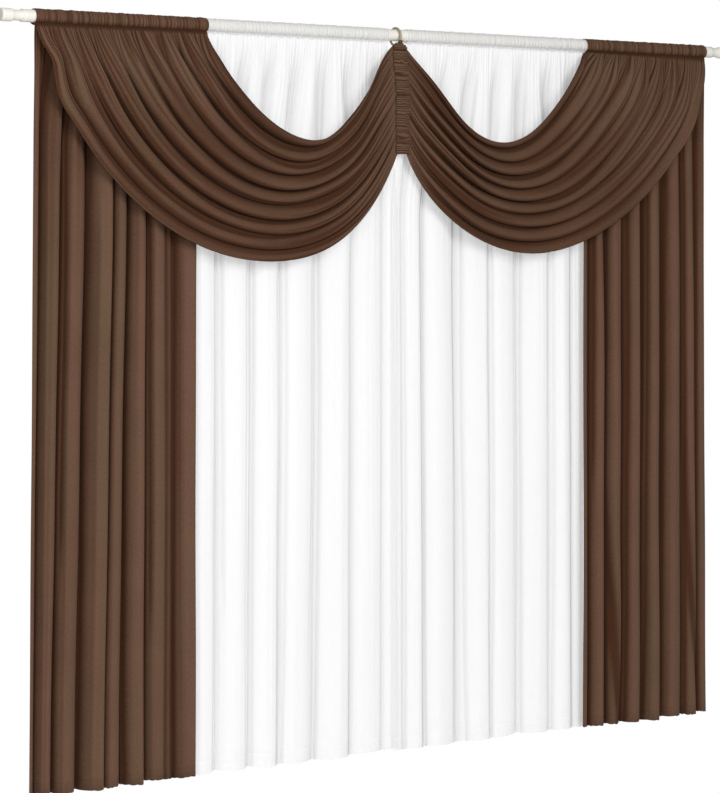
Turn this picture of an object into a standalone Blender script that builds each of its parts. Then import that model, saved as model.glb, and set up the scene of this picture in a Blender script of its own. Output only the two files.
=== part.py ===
# Curtain set on a rod: two gathered side panels, two sheer panels, and a valance of two draped swags that
# meet in a ruched strip hung from a ring. Metres. X runs along the rod, Z is up and the curtain faces -Y.
# The origin is on the rod's axis at mid-length, where the rod is held up.
import math

import bmesh
import bpy
import numpy as np

# Rod and its end pieces
ROD_RADIUS = 0.014
ROD_WALL = 0.001
ROD_HALF = 1.030
FIT = 0.0003  # space between pieces that touch
# End piece turned about X: a row per corner of its profile
FINIAL = (
    # place along X from the tube's end, radius
    ("spigot end", -0.030, 0.0),
    ("spigot edge", -0.030, 0.0117),
    ("spigot bevel", -0.029, 0.0127),
    ("spigot root", FIT, 0.0127),
    ("neck", FIT + 0.0015, 0.0118),
    ("neck end", 0.0245, 0.0118),
    ("cap back", 0.0255, 0.0138),
    ("cap bevel", 0.0270, 0.0146),
    ("cap front", 0.0515, 0.0146),
    ("cap face", 0.0530, 0.0134),
    ("cap centre", 0.0530, 0.0),
)

# Ring and cloth loop at mid-length
RING_WIRE = 0.00275
RING_RADIUS = 0.02025
RING_Z = ROD_RADIUS + FIT - (RING_RADIUS - RING_WIRE)
LOOP_WIRE = 0.0009
LOOP_HALF = 0.0041
LEG_HALF = 0.0046
LEG_END = -0.040
LOOP_RING_Y = -0.0040  # depth of the cord at the ring
LOOP_BACK_Y = -0.0192  # and behind the strip

# Cloth
JERSEY = 0.0015
VOILE = 0.0010
POCKET_Z = -0.0018  # centre of the rod pocket, a little below the rod's axis
POCKET_SIDES = 14
SEAM_TURN = math.radians(30)  # the pocket's seam is this far in front of its lowest point
HEM_Z = -1.683
PER_FOLD = 6  # faces across each fold
PANEL_ROUNDNESS = 0.80
PANEL_RADIUS = 0.0172
SHEER_RADIUS = 0.0170
# Heights below the seam at which a panel has a row, the drop over which its folds come forward, the drop over
# which they take their own widths, and the drop that stays straight first
PANEL_DROPS = (0.025, 0.060, 0.105, 0.165, 0.240)
SHEER_DROPS = (0.020, 0.050, 0.085, 0.130, 0.240, 0.400, 0.560, 0.725)
PANEL_OPENS = 0.24
SHEER_OPENS = 0.13
PANEL_WIDENS = 0.24
SHEER_WIDENS = 0.70
STRAIGHT_DROP = 0.025

# Side panels: a row per front edge of a fold, from the outer edge to the inner edge
LEFT_PANEL = (
    # x at the top, x at the hem, y of the front edge, y of the valley after it
    (-0.999, -1.012, -0.004, 0.016),
    (-0.952, -0.984, -0.026, 0.008),
    (-0.896, -0.932, -0.024, 0.022),
    (-0.815, -0.842, -0.030, -0.006),
    (-0.779, -0.812, -0.024, 0.014),
    (-0.732, -0.740, -0.028, 0.010),
    (-0.692, -0.692, -0.027, -0.002),
    (-0.586, -0.588, -0.022, 0.0),
)
RIGHT_PANEL = (
    (1.000, 1.008, -0.004, 0.010),
    (0.934, 0.955, -0.022, 0.000),
    (0.887, 0.884, -0.026, 0.014),
    (0.810, 0.816, -0.027, 0.018),
    (0.752, 0.746, -0.029, 0.008),
    (0.676, 0.684, -0.028, 0.014),
    (0.636, 0.632, -0.026, 0.004),
    (0.577, 0.574, -0.021, 0.0),
)
# Sheer panels, from the outer edge to the edge at mid-length
LEFT_SHEER = (
    (-0.603, -0.600, 0.009, 0.013),
    (-0.555, -0.558, -0.008, 0.014),
    (-0.450, -0.466, -0.009, 0.016),
    (-0.366, -0.372, -0.007, 0.013),
    (-0.284, -0.300, -0.009, 0.016),
    (-0.158, -0.172, -0.008, 0.015),
    (-0.076, -0.080, 0.000, 0.012),
    (0.010, 0.014, 0.005, 0.0),
)
RIGHT_SHEER = (
    (0.603, 0.600, 0.008, 0.013),
    (0.520, 0.535, -0.007, 0.013),
    (0.452, 0.443, -0.008, 0.014),
    (0.318, 0.330, -0.007, 0.010),
    (0.259, 0.270, -0.009, 0.016),
    (0.115, 0.126, -0.012, 0.014),
    (0.046, 0.062, -0.009, 0.002),
    (-0.014, -0.012, -0.006, 0.0),
)
# Reach of each pocket along the rod, outer end and inner end
POCKETS = {
    "side_panel_left": (-1.000, -0.547),
    "side_panel_right": (1.000, 0.593),
    "sheer_left": (-0.5465, -0.0265),
    "sheer_right": (0.5925, 0.0290),
}

# Swags: five guide points of the top edge and of the hem, from the rod pocket to the strip
SWAG_EDGES = {
    "swag_left": (
        # x and z on the top edge, x and z on the hem
        (-0.548, -0.0170, -0.998, -0.0170),
        (-0.565, -0.1478, -1.014, -0.2115),
        (-0.170, -0.4702, -0.683, -0.6818),
        (-0.210, -0.1561, -0.164, -0.6261),
        (-0.0085, -0.0165, -0.013, -0.2780),
    ),
    "swag_right": (
        (0.594, -0.0170, 0.998, -0.0170),
        (0.480, -0.0389, 0.935, -0.2957),
        (0.306, -0.5591, 0.513, -0.7061),
        (0.086, -0.1022, 0.104, -0.5212),
        (0.0085, -0.0165, 0.013, -0.2780),
    ),
}
# A row per fold of a swag, from the top edge to the hem: share of the way down, depth of the valley after it
SWAG_FOLDS = {
    "swag_left": (
        (0.00, 0.024),
        (0.15, 0.025),
        (0.27, 0.024),
        (0.40, 0.023),
        (0.52, 0.025),
        (0.65, 0.022),
        (0.76, 0.018),
        (0.87, 0.014),
        (1.00, 0.0),
    ),
    "swag_right": (
        (0.00, 0.022),
        (0.13, 0.025),
        (0.26, 0.026),
        (0.38, 0.023),
        (0.50, 0.024),
        (0.62, 0.022),
        (0.74, 0.019),
        (0.86, 0.015),
        (1.00, 0.0),
    ),
}
SWAG_LINES = 15
SWAG_CROWDING = 0.07  # how much closer the lines stand at both ends
SWAG_ROUNDNESS = 0.85
SWAG_OPENS = 0.16  # share of the length over which the folds open, and close again
SWAG_CLOSES = 0.28
SWAG_LEAST = 0.02  # share of its depth that a fold keeps at both ends
SWAG_SAG = 0.010
SWAG_START_Y = -0.0108
SWAG_FRONT_Y = -0.050
SWAG_BELLY = 0.006  # the middle of a swag stands this much farther forward than its edges
SWAG_TOP_LENGTH = 0.75
SWAG_HEM_LENGTH = 1.30
SWAG_FORWARD = 0.11  # length over which the cloth comes forward from the pocket
SWAG_BACK = 0.24  # share of the length over which it goes back to the strip
BEHIND_STRIP = 0.0066

# Ruched strip
STRIP_TOP = -0.0125
STRIP_END = -0.2800
STRIP_HALF = 0.0195
STRIP_TOP_HALF = 0.005
STRIP_SHOULDER = 0.020
STRIP_RIBS = 16
STRIP_RIB_DEPTH = 0.0012
STRIP_RIB_WIDTH = 0.03
STRIP_BOW = 0.0030
STRIP_TOP_Y = -0.0215
STRIP_LEAN = 0.0105  # how far the strip comes forward, from the height below, over the drop below
STRIP_LEAN_FROM = -0.045
STRIP_LEAN_DROP = 0.09
STRIP_PROUD = 0.0015


# Eased step from 0 to 1
def ease(a):
    a = np.clip(a, 0.0, 1.0)
    return a * a * (3.0 - 2.0 * a)


def fresh_scene():
    for item in list(bpy.data.objects):
        bpy.data.objects.remove(item)
    for name in ("curtain_set", "cutters"):
        bpy.context.scene.collection.children.link(bpy.data.collections.new(name))


def material(name, colour, roughness, metallic=0.0):
    made = bpy.data.materials.new(name)
    made.use_nodes = True
    shader = made.node_tree.nodes["Principled BSDF"]
    shader.inputs["Base Color"].default_value = (*colour, 1.0)
    shader.inputs["Roughness"].default_value = roughness
    shader.inputs["Metallic"].default_value = metallic
    made.diffuse_color = (*colour, 1.0)
    return made


def keep(piece, name, look):
    piece.name = name
    piece.data.name = name
    piece.data.materials.clear()
    piece.data.materials.append(look)
    for collection in list(piece.users_collection):
        collection.objects.unlink(piece)
    bpy.data.collections["curtain_set"].objects.link(piece)
    return piece


def read_points(piece):
    flat = np.empty(len(piece.data.vertices) * 3)
    piece.data.vertices.foreach_get("co", flat)
    return flat.reshape(-1, 3)


def write_points(piece, points):
    piece.data.vertices.foreach_set("co", np.asarray(points, dtype=float).ravel())
    piece.data.update()


# A sheet of cloth: a grid laid over 0 to 1 both ways, moved by place(across, down), then given its thickness
def sheet(name, columns, rows, place, thickness, look):
    bpy.ops.mesh.primitive_grid_add(x_subdivisions=columns, y_subdivisions=rows, size=1.0)
    piece = keep(bpy.context.object, name, look)
    flat = read_points(piece)
    write_points(piece, np.stack(place(flat[:, 0] + 0.5, flat[:, 1] + 0.5), axis=1))
    merge = piece.modifiers.new("even faces joined", "DECIMATE")
    merge.decimate_type = "DISSOLVE"
    merge.angle_limit = math.radians(0.3)
    shell = piece.modifiers.new("cloth thickness", "SOLIDIFY")
    shell.thickness = thickness
    shell.offset = 0.0
    shell.use_even_offset = True
    return piece


# Runs along a table of front edges: at a whole number the cloth is on a front edge, halfway to the next in the
# valley. The sine term rounds the front and narrows the valley.
def fold_place(step, roundness):
    step = np.clip(step, 0.0, None)
    row = np.floor(step)
    turn = 2 * np.pi * (step - row)
    return row.astype(int), step - row + roundness * np.sin(turn) / (2 * np.pi), (1 - np.cos(turn)) / 2


# Section of a rod pocket: the turned-over edge starts just behind the seam, runs back under the rod, up behind
# it, over it and down the front to the seam
def pocket_section(station, radius, thickness):
    start = -SEAM_TURN + (thickness + 2 * FIT) / radius
    angle = start + station / POCKET_SIDES * (2 * np.pi - SEAM_TURN - start)
    return radius * np.sin(angle), POCKET_Z - radius * np.cos(angle)


# A hanging panel: the rod pocket's stations come first, then the drops below the seam
def panel(name, folds, thickness, radius, drops, opens, widens, look):
    table = np.array(folds)
    x_top, x_hem, front, back = table.T
    outer, inner = POCKETS[name]
    seam_z = POCKET_Z - radius * math.cos(SEAM_TURN)
    stations = POCKET_SIDES + len(drops) + 1
    fall = np.concatenate([np.zeros(POCKET_SIDES + 1), drops, [seam_z - HEM_Z]])

    def place(across, down):
        row = np.rint(down * stations).astype(int)
        drop = fall[row]
        fold, part, deep = fold_place(across * (len(table) - 1) - 1e-9, PANEL_ROUNDNESS)
        after = np.minimum(fold + 1, len(table) - 1)
        lower = drop / (seam_z - HEM_Z)
        edge = x_top + (x_hem - x_top) * lower[:, None]
        rows = np.arange(len(across))
        folded_x = edge[rows, fold] + (edge[rows, after] - edge[rows, fold]) * part
        straight_x = outer + (inner - outer) * across
        near = front[fold] + (front[after] - front[fold]) * part
        folded_y = near + (back[fold] - near) * deep
        pocket_y, pocket_z = pocket_section(np.minimum(row, POCKET_SIDES).astype(float), radius, thickness)
        return (
            straight_x + (folded_x - straight_x) * ease((drop - STRAIGHT_DROP) / widens),
            pocket_y + (folded_y - pocket_y) * ease(drop / opens),
            pocket_z - drop,
        )

    return sheet(name, (len(table) - 1) * PER_FOLD, stations, place, thickness, look)


# Depth at which the strip hangs, by height
def strip_y(z):
    return STRIP_TOP_Y - STRIP_LEAN * ease((STRIP_LEAN_FROM - z) / STRIP_LEAN_DROP)


# A swag: smooth curves from the seam of the rod pocket to the strip, from the top edge (0) to the hem (1)
def swag(name, look):
    edges = np.array(SWAG_EDGES[name])
    shares, depths = np.array(SWAG_FOLDS[name]).T
    run = np.linspace(0.0, 1.0, SWAG_LINES + 1)
    run = run - SWAG_CROWDING * np.sin(2 * np.pi * run)

    def place(across, along):
        t = run[np.rint(along * SWAG_LINES).astype(int)]
        step = across * (len(shares) - 1) - 1e-9
        fold, part, deep = fold_place(step, SWAG_ROUNDNESS)
        after = np.minimum(fold + 1, len(shares) - 1)
        loose = ease(t / SWAG_OPENS) * ease((1 - t) / SWAG_CLOSES)
        even = step - fold
        share = shares[fold] + (shares[after] - shares[fold]) * (even + (part - even) * loose)
        weights = [math.comb(4, k) * t**k * (1 - t) ** (4 - k) for k in range(5)]
        x = sum(w * (p[0] + (p[2] - p[0]) * share) for w, p in zip(weights, edges))
        z = sum(w * (p[1] + (p[3] - p[1]) * share) for w, p in zip(weights, edges))
        length = SWAG_TOP_LENGTH + (SWAG_HEM_LENGTH - SWAG_TOP_LENGTH) * share
        front = SWAG_FRONT_Y - SWAG_BELLY * np.sin(np.pi * share)
        mean = SWAG_START_Y + (front - SWAG_START_Y) * ease(t * length / SWAG_FORWARD)
        inner = strip_y(z) + BEHIND_STRIP
        mean = inner + (mean - inner) * ease((1 - t) / SWAG_BACK)
        y = mean + depths[fold] * (SWAG_LEAST + (1 - SWAG_LEAST) * loose) * (deep - 0.5)
        z = z - SWAG_SAG * loose * (0.5 - deep) * (share > 1e-6) * (share < 1 - 1e-6)
        return x, y, z

    return sheet(name, (len(shares) - 1) * PER_FOLD, SWAG_LINES, place, JERSEY, look)


# The ruched strip: ribs across it, a bowed front and shoulders at its top
def ruched_strip(look):
    def place(across, down):
        z = STRIP_TOP + (STRIP_END - STRIP_TOP) * down
        wave = np.cos(2 * np.pi * STRIP_RIBS * down)
        half = STRIP_TOP_HALF + (STRIP_HALF - STRIP_TOP_HALF) * ease((STRIP_TOP - z) / STRIP_SHOULDER)
        side = 2 * across - 1
        y = strip_y(z) - STRIP_RIB_DEPTH * wave + STRIP_BOW * side * side - STRIP_PROUD
        return half * (1 + STRIP_RIB_WIDTH * wave) * side, y, z

    return sheet("centre_strip", 4, STRIP_RIBS * 4, place, JERSEY, look)


def rod(look):
    bpy.ops.mesh.primitive_cylinder_add(
        vertices=32, radius=ROD_RADIUS, depth=2 * ROD_HALF, end_fill_type="NOTHING", rotation=(0, math.pi / 2, 0)
    )
    piece = keep(bpy.context.object, "rod", look)
    bpy.ops.object.transform_apply(rotation=True)
    wall = piece.modifiers.new("tube wall", "SOLIDIFY")
    wall.thickness = ROD_WALL
    wall.offset = -1.0
    return piece


def finial(name, side, look):
    mesh = bpy.data.meshes.new(name)
    corners = [(side * (ROD_HALF + along), 0.0, radius) for _, along, radius in FINIAL]
    mesh.from_pydata(corners, [(i, i + 1) for i in range(len(corners) - 1)], [])
    piece = bpy.data.objects.new(name, mesh)
    bpy.context.scene.collection.objects.link(piece)
    turned = piece.modifiers.new("turned", "SCREW")
    turned.axis = "X"
    turned.angle = 2 * math.pi
    turned.screw_offset = 0.0
    turned.steps = 20
    turned.render_steps = 20
    turned.use_merge_vertices = True
    turned.merge_threshold = 0.00001
    turned.use_normal_calculate = True
    return keep(piece, name, look)


def ring(look):
    bpy.ops.mesh.primitive_torus_add(
        major_radius=RING_RADIUS,
        minor_radius=RING_WIRE,
        major_segments=24,
        minor_segments=8,
        location=(0, 0, RING_Z),
        rotation=(0, math.pi / 2, 0),
    )
    piece = keep(bpy.context.object, "swag_ring", look)
    bpy.ops.object.transform_apply(location=True, rotation=True)
    return piece


# The cloth loop: a narrow cord over the ring's lowest part, with both legs behind the strip's top
def hanging_loop(look):
    turn = np.linspace(0.0, np.pi, 9)
    arch_z = RING_Z - RING_RADIUS + FIT
    x = np.concatenate([[-LEG_HALF, -LOOP_HALF], -LOOP_HALF * np.cos(turn[1:-1]), [LOOP_HALF, LEG_HALF]])
    z = np.concatenate([[LEG_END, arch_z], arch_z + LOOP_HALF * np.sin(turn[1:-1]), [arch_z, LEG_END]])
    y = np.interp(z, [LEG_END, arch_z], [LOOP_BACK_Y, LOOP_RING_Y])
    curve = bpy.data.curves.new("hanging_loop", "CURVE")
    curve.dimensions = "3D"
    curve.bevel_depth = LOOP_WIRE
    curve.bevel_resolution = 1
    curve.use_fill_caps = True
    line = curve.splines.new("POLY")
    line.points.add(len(x) - 1)
    line.points.foreach_set("co", np.stack([x, y, z, np.ones(len(x))], axis=1).ravel())
    drawn = bpy.data.objects.new("hanging_loop", curve)
    bpy.context.scene.collection.objects.link(drawn)
    piece = bpy.data.objects.new("hanging_loop", bpy.data.meshes.new_from_object(drawn))
    bpy.data.objects.remove(drawn)
    bpy.context.scene.collection.objects.link(piece)
    whole = bmesh.new()
    whole.from_mesh(piece.data)
    bmesh.ops.remove_doubles(whole, verts=whole.verts, dist=0.00001)
    bmesh.ops.recalc_face_normals(whole, faces=whole.faces)
    whole.to_mesh(piece.data)
    whole.free()
    return keep(piece, "hanging_loop", look)


def build():
    fresh_scene()
    brown = material("brown_jersey", (0.125, 0.070, 0.040), 0.85)
    white = material("white_voile", (0.90, 0.90, 0.88), 0.80)
    paint = material("white_rod", (0.88, 0.86, 0.80), 0.35)
    beige = material("beige_ring", (0.36, 0.30, 0.22), 0.45)
    rod(paint)
    finial("finial_left", -1, paint)
    finial("finial_right", 1, paint)
    ring(beige)
    hanging_loop(brown)
    ruched_strip(brown)
    for name, folds in (("side_panel_left", LEFT_PANEL), ("side_panel_right", RIGHT_PANEL)):
        panel(name, folds, JERSEY, PANEL_RADIUS, PANEL_DROPS, PANEL_OPENS, PANEL_WIDENS, brown)
    for name, folds in (("sheer_left", LEFT_SHEER), ("sheer_right", RIGHT_SHEER)):
        panel(name, folds, VOILE, SHEER_RADIUS, SHEER_DROPS, SHEER_OPENS, SHEER_WIDENS, white)
    swag("swag_left", brown)
    swag("swag_right", brown)


build()
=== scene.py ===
import math

import bpy
import numpy as np
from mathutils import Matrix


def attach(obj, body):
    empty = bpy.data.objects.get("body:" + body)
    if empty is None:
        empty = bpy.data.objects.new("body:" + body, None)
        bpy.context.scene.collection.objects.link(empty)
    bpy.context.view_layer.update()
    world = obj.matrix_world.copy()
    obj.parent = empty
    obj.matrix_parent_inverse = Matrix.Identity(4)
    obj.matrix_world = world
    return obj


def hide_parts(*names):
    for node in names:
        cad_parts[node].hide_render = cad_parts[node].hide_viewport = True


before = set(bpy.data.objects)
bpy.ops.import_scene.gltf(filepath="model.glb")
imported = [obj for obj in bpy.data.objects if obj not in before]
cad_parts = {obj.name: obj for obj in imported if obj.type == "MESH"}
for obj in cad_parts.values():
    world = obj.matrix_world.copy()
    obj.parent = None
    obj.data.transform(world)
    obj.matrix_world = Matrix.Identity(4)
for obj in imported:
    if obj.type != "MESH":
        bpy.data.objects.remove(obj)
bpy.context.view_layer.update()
print("frame loaded")

# the set: X along the rod, Z up, the room on the -Y side; metres
layout = {
    "rodRadius": 0.014,
    "pocketCentre": -0.0018,
    "seamTurn": math.radians(30),  # the pocket's seam is this far in front of its lowest point
    "hemHeight": -1.683,
    "ringCentre": -0.0032,
    "ringRadius": 0.02025,
    "ringWire": 0.00275,
    "cloth": 0.0010,  # thickness of the jersey
}


# eased step from 0 to 1: 3a^2 - 2a^3
def ease(a):
    a = np.clip(a, 0.0, 1.0)
    return a * a * (3.0 - 2.0 * a)


# soft uneven line from -1 to 1: a few sines of unlike pitch, each with its own start
def ripple(a, seed, slowest, fastest, count=5, unevenness=0.15, gain=1.6):
    chance = np.random.default_rng(seed)
    pitches = np.linspace(slowest, fastest, count)
    pitches = pitches * chance.uniform(1 - unevenness, 1 + unevenness, count)
    starts = chance.uniform(0, 2 * np.pi, count)
    weights = 1.0 / np.sqrt(pitches)
    waves = np.sin(2 * np.pi * np.multiply.outer(a, pitches) + starts)
    return (waves * weights).sum(axis=-1) / weights.sum() * gain


# the same line over a sheet, on a slant across and down it
def slanted(across, down, seed, slant, pitches):
    return ripple(slant[0] * across + slant[1] * down, seed, *pitches)


pleatSpec = {
    "wander": 0.9, "wanderPitches": (2, 9),  # in pleats
    "lean": 0.3, "leanPitches": (5, 14), "leanDown": 0.05,
    "valley": 0.015,  # rounds the valleys' bottoms
    "height": 0.80, "heightSpread": 0.28, "heightPitches": (0.2, 0.45),  # per pleat
    "middle": 0.6,  # height at which a pleat leaves the cloth where it is
}  # fmt: skip


# uneven pleats, 0 in a valley and 1 on a front: a root of the squared sine of a phase that drifts,
# times a height that changes from pleat to pleat
def pleatRow(across, down, number, seed, drift=0.0, sharpness=0.6):
    spec = pleatSpec
    slow, fast = spec["heightPitches"]
    phase = number * across + spec["wander"] * ripple(across, seed, *spec["wanderPitches"])
    leaning = ripple(across + spec["leanDown"] * down, seed + 1, *spec["leanPitches"])
    phase = phase + drift * down + spec["lean"] * leaning
    front = (np.sin(np.pi * phase) ** 2 + spec["valley"]) ** (sharpness / 2)
    uneven = ripple(across, seed + 2, number * slow, number * fast)
    return front * (spec["height"] + spec["heightSpread"] * uneven)


# how far pleats push the cloth back: their depth times what they lack of the middle height
def pushed(depth, pleat):
    return depth * (pleatSpec["middle"] - pleat)


# painted shade in a valley between pleats: its depth below a level, as a share from 0 to 1
def darkened(pleat, level):
    return np.clip(level - pleat, 0, 1)


# creases given in a table: each row is a soft trough (or a ridge, where its depth is below zero) along
# a line bent through three places, from one share of the way to another
def creaseField(across, down, table, fadeIn=0.10, fadeOut=0.14):
    field = 0.0 * (across + down)
    for first, middle, last, start, end, depth, width in table:
        line = (1 - 2 * down) * (first * (1 - down) - last * down) + 4 * middle * down * (1 - down)
        reach = ease((down - start) / fadeIn) * ease((end - down) / fadeOut)
        field = field + depth * reach * np.exp(-(((across - line) / width) ** 2))
    return field


# a soft mark that is 1 at its middle and falls off over its width
def softMark(distance, width):
    return np.exp(-((distance / width) ** 2))


# along a row of folds: whole numbers are front edges, halves are valleys; the sine term broadens the
# front, and the power flattens it
def foldAlong(step, roundness, flatness=1.0):
    fold = np.floor(np.clip(step - 1e-9, 0.0, None)).astype(int)
    part = step - fold
    eased = part + roundness * np.sin(2 * np.pi * part) / (2 * np.pi)
    return fold, part, eased, ((1 - np.cos(2 * np.pi * part)) / 2) ** flatness


# mesh of a grid of points (rows, columns, 3): a quad between each four neighbours, closed round its
# columns or rows where asked, with a centre point on each end ring; the UV map holds metres along the
# cloth and up from its last row
def gridPiece(name, points, roundColumns=False, roundRows=False, caps=False, flip=False, paintedShade=None):
    rows, columns = points.shape[:2]
    quadRows = rows if roundRows else rows - 1
    quadColumns = columns if roundColumns else columns - 1
    down, across = np.meshgrid(np.arange(quadRows), np.arange(quadColumns), indexing="ij")
    cornerDown = np.stack([down, down + 1, down + 1, down], axis=-1).reshape(-1, 4)
    cornerAcross = np.stack([across, across, across + 1, across + 1], axis=-1).reshape(-1, 4)
    if flip:
        cornerDown, cornerAcross = cornerDown[:, ::-1], cornerAcross[:, ::-1]
    faces = (cornerDown % rows) * columns + cornerAcross % columns
    corners = points.reshape(-1, 3)
    stepAcross = np.linalg.norm(np.roll(points, -1, axis=1) - points, axis=2)[:, :quadColumns]
    stepDown = np.linalg.norm(np.roll(points, -1, axis=0) - points, axis=2)[:quadRows]
    acrossAt = np.concatenate([[0.0], np.cumsum(stepAcross.mean(axis=0))])
    downAt = np.concatenate([[0.0], np.cumsum(stepDown.mean(axis=1))])
    flat = np.stack([acrossAt[cornerAcross], downAt[-1] - downAt[cornerDown]], axis=-1).reshape(-1, 2)
    if caps:
        ring = np.arange(columns)
        after = (ring + 1) % columns
        last = (rows - 1) * columns
        centre = rows * columns
        corners = np.concatenate([corners, points[[0, -1]].mean(axis=1)])
        first = np.stack([ring, after, np.full(columns, centre)], axis=-1)
        second = np.stack([last + after, last + ring, np.full(columns, centre + 1)], axis=-1)
        ends = np.concatenate([first, second])
        if flip:
            ends = ends[:, ::-1]
        flat = np.concatenate([flat, corners[ends].reshape(-1, 3)[:, 1:] + downAt[-1]])
        faces = faces.tolist() + ends.tolist()
    mesh = bpy.data.meshes.new(name)
    mesh.from_pydata(corners, [], faces)
    layer = mesh.uv_layers.new(name="flatCloth")
    layer.data.foreach_set("uv", flat.astype(np.float32).ravel())
    # painted shade: each point's share of fold shade is kept as an attribute
    if paintedShade is not None:
        marks = mesh.attributes.new("paintedShade", "FLOAT", "POINT")
        values = np.broadcast_to(paintedShade, (rows, columns)).astype(np.float32)
        marks.data.foreach_set("value", values.ravel())
    mesh.polygons.foreach_set("use_smooth", np.ones(len(mesh.polygons), dtype=bool))
    mesh.update()
    piece = bpy.data.objects.new(name, mesh)
    bpy.context.scene.collection.objects.link(piece)
    return piece, (round(float(acrossAt[-1]), 3), round(float(downAt[-1]), 3))


# half the cloth's thickness to each side of its surface
def giveThickness(piece):
    shell = piece.modifiers.new("thickness", "SOLIDIFY")
    shell.thickness = layout["cloth"]
    shell.offset = 0.0
    shell.use_even_offset = False
    return piece


# a piece's finish, the body that it rides on and the solids that it stands for; its slot is not used
def dress(piece, material, slot, *nodes):
    piece.data.materials.clear()
    piece.data.materials.append(material)
    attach(piece, "root")
    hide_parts(*nodes)
    return piece


# small helpers for shader nodes; a group's input without a value is a vector
def newGroup(name, inputs, outputs):
    group = bpy.data.node_groups.new(name, "ShaderNodeTree")
    for label, value in inputs.items():
        kind = "NodeSocketVector" if value is None else "NodeSocketFloat"
        socket = group.interface.new_socket(name=label, in_out="INPUT", socket_type=kind)
        if value is not None:
            socket.default_value = value
    for label in outputs:
        group.interface.new_socket(name=label, in_out="OUTPUT", socket_type="NodeSocketFloat")
    return group, group.nodes.new("NodeGroupInput"), group.nodes.new("NodeGroupOutput")


def mathNode(tree, operation, first, second=None, third=None):
    node = tree.nodes.new("ShaderNodeMath")
    node.operation = operation
    for slot, value in enumerate((first, second, third)):
        if value is None:
            continue
        if isinstance(value, (int, float)):
            node.inputs[slot].default_value = value
        else:
            tree.links.new(value, node.inputs[slot])
    return node.outputs[0]


# a value plus a share of another
def plusNode(tree, base, value, share):
    return mathNode(tree, "MULTIPLY_ADD", value, share, base)


def noiseNode(tree, vector, scale, detail=3.0, stretch=None):
    if stretch:
        mapping = tree.nodes.new("ShaderNodeMapping")
        mapping.inputs["Scale"].default_value = stretch
        tree.links.new(vector, mapping.inputs["Vector"])
        vector = mapping.outputs[0]
    node = tree.nodes.new("ShaderNodeTexNoise")
    node.inputs["Scale"].default_value = scale
    node.inputs["Detail"].default_value = detail
    tree.links.new(vector, node.inputs["Vector"])
    return node.outputs["Fac"]


def rangeNode(tree, value, fromLow, fromHigh, toLow, toHigh):
    node = tree.nodes.new("ShaderNodeMapRange")
    ends = {"From Min": fromLow, "From Max": fromHigh, "To Min": toLow, "To Max": toHigh}
    for label, number in ends.items():
        node.inputs[label].default_value = number
    tree.links.new(value, node.inputs["Value"])
    return node.outputs[0]


def mixColour(tree, factor, first, second):
    node = tree.nodes.new("ShaderNodeMix")
    node.data_type = "RGBA"
    tree.links.new(factor, node.inputs[0])
    for slot, value in ((6, first), (7, second)):
        if isinstance(value, tuple):
            node.inputs[slot].default_value = (*value, 1.0)
        else:
            tree.links.new(value, node.inputs[slot])
    return node.outputs[2]


# painted shade, as kept in the mesh: how deep in a fold or a gather the cloth lies, darkened there
def paintedShadeMark(tree):
    node = tree.nodes.new("ShaderNodeAttribute")
    node.attribute_name = "paintedShade"
    return node.outputs["Fac"]


knitSpec = {
    "bend": 1.3,  # how far a course bends round a wale
    "base": 0.5, "waleHeight": 0.30, "courseHeight": 0.20,
    "streaks": (1.0, 3.0, (900.0, 160.0, 1.0)), "streakShare": 0.6, "loopShare": 0.4,
}  # fmt: skip


# knit: wales and courses as two crossed sines of the flat cloth's metres, with streaks along the wales
def buildKnitGroup(spec):
    sockets = {"Cloth": None, "Wale": 0.0011, "Course": 0.0009}
    group, given, result = newGroup("knitLoops", sockets, ("Height", "Tone"))
    parts = group.nodes.new("ShaderNodeSeparateXYZ")
    group.links.new(given.outputs["Cloth"], parts.inputs[0])
    waleTurn = mathNode(group, "DIVIDE", parts.outputs[0], given.outputs["Wale"])
    waleTurn = mathNode(group, "MULTIPLY", waleTurn, 2 * math.pi)
    courseTurn = mathNode(group, "DIVIDE", parts.outputs[1], given.outputs["Course"])
    courseTurn = mathNode(group, "MULTIPLY", courseTurn, 2 * math.pi)
    bent = plusNode(group, courseTurn, mathNode(group, "COSINE", waleTurn), spec["bend"])
    wale, course = mathNode(group, "SINE", waleTurn), mathNode(group, "SINE", bent)
    height = mathNode(group, "MULTIPLY_ADD", wale, spec["waleHeight"], spec["base"])
    height = plusNode(group, height, course, spec["courseHeight"])
    streak = noiseNode(group, given.outputs["Cloth"], *spec["streaks"])
    tone = mathNode(group, "MULTIPLY", height, spec["loopShare"])
    tone = plusNode(group, tone, streak, spec["streakShare"])
    group.links.new(height, result.inputs["Height"])
    group.links.new(tone, result.inputs["Tone"])
    return group


stitchSpec = {"core": 0.0004, "edge": 0.0012, "gap": (-0.6, 0.2), "gapDepth": 0.4}


# stitch line: a groove at a set height above the hem, broken into stitches
def buildStitchGroup(spec):
    sockets = {"Cloth": None, "Height": 0.02, "Pitch": 0.003}
    group, given, result = newGroup("hemStitch", sockets, ("Groove", "Hem"))
    parts = group.nodes.new("ShaderNodeSeparateXYZ")
    group.links.new(given.outputs["Cloth"], parts.inputs[0])
    above = mathNode(group, "SUBTRACT", parts.outputs[1], given.outputs["Height"])
    line = rangeNode(group, mathNode(group, "ABSOLUTE", above), spec["core"], spec["edge"], 1.0, 0.0)
    turn = mathNode(group, "DIVIDE", parts.outputs[0], given.outputs["Pitch"])
    turn = mathNode(group, "MULTIPLY", turn, 2 * math.pi)
    dash = rangeNode(group, mathNode(group, "SINE", turn), *spec["gap"], spec["gapDepth"], 1.0)
    hem = mathNode(group, "LESS_THAN", parts.outputs[1], given.outputs["Height"])
    group.links.new(mathNode(group, "MULTIPLY", line, dash), result.inputs["Groove"])
    group.links.new(hem, result.inputs["Hem"])
    return group


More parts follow.
